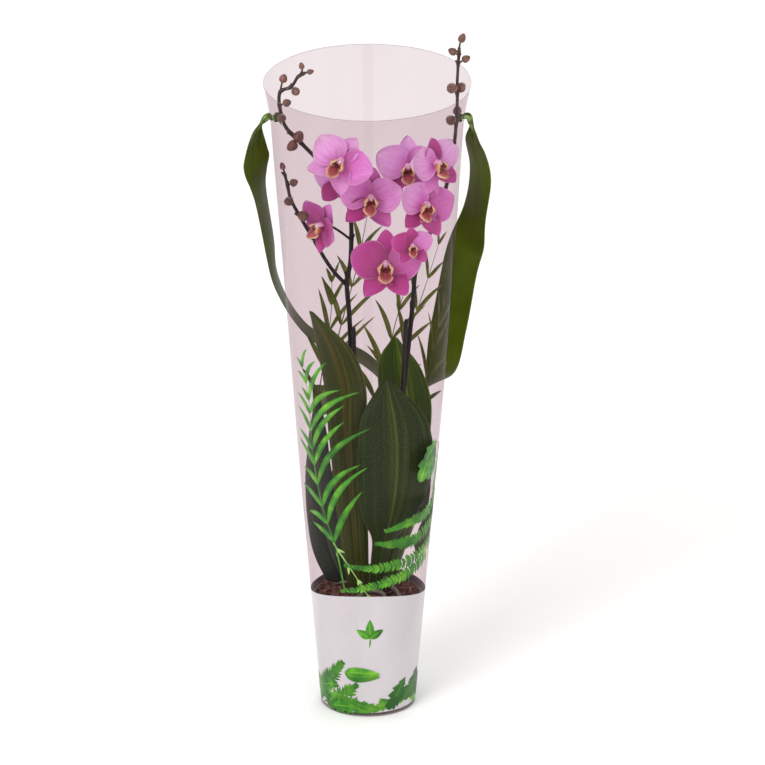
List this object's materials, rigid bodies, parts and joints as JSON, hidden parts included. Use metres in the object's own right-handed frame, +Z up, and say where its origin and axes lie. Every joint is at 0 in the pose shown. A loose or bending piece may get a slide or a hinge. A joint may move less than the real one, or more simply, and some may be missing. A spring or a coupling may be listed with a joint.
{
  "type": "potted orchid",
  "caption": "Moth orchid with pink blooms and closed buds in a nursery pot, inside a tapered clear carry sleeve with a green ribbon handle.",
  "frame": {"origin": "centre of the bottom, where the pot and the sleeve stand on the surface", "axes": "+Z up along the sleeve, -Y towards the front of the plant, +X to the right as seen from the front"},
  "size_m": [0.2564, 0.2261, 0.7556],
  "materials": {
    "tepal": "soft matt petal, pink-lilac with darker veins and a paler rim",
    "lip": "waxy ochre and magenta lip with a pale rim",
    "bud": "satin red-brown bud",
    "stem": "satin dark brown flower stem",
    "leaf": "waxy deep green leaf",
    "bark": "rough bark chips",
    "black_plastic": "matt black",
    "pot_plastic": "smoky translucent nursery pot",
    "clear_film": "thin glossy clear film with printed foliage and a white printed band",
    "green_satin": "dark green satin ribbon"
  },
  "bodies": {
    "root": {"bark_medium": "bark", "bud_branch_1": "bud", "bud_branch_2": "bud", "bud_branch_3": "bud", "bud_branch_4": "bud", "bud_left_1": "bud", "bud_left_2": "bud", "bud_left_3": "bud", "bud_left_4": "bud", "bud_left_5": "bud", "bud_left_6": "bud", "bud_left_7": "bud", "bud_left_8": "bud", "bud_right_1": "bud", "bud_right_2": "bud", "bud_right_3": "bud", "bud_right_4": "bud", "bud_right_5": "bud", "bud_right_6": "bud", "bud_right_7": "bud", "carry_sleeve": "clear_film", "flower_1_lip": "lip", "flower_1_tepals": "tepal", "flower_2_lip": "lip", "flower_2_tepals": "tepal", "flower_3_lip": "lip", "flower_3_tepals": "tepal", "flower_4_lip": "lip", "flower_4_tepals": "tepal", "flower_5_lip": "lip", "flower_5_tepals": "tepal", "flower_6_lip": "lip", "flower_6_tepals": "tepal", "flower_7_lip": "lip", "flower_7_tepals": "tepal", "flower_8_lip": "lip", "flower_8_tepals": "tepal", "flower_9_lip": "lip", "flower_9_tepals": "tepal", "leaf_front": "leaf", "leaf_left_low": "leaf", "leaf_left_tall": "leaf", "leaf_right_back": "leaf", "leaf_right_low": "leaf", "nursery_pot": "pot_plastic", "ribbon_handle": "green_satin", "spike_left": "stem", "spike_right": "stem", "stake_left": "black_plastic", "stake_right": "black_plastic", "stem_clip": "black_plastic"}
  },
  "joints": []
}
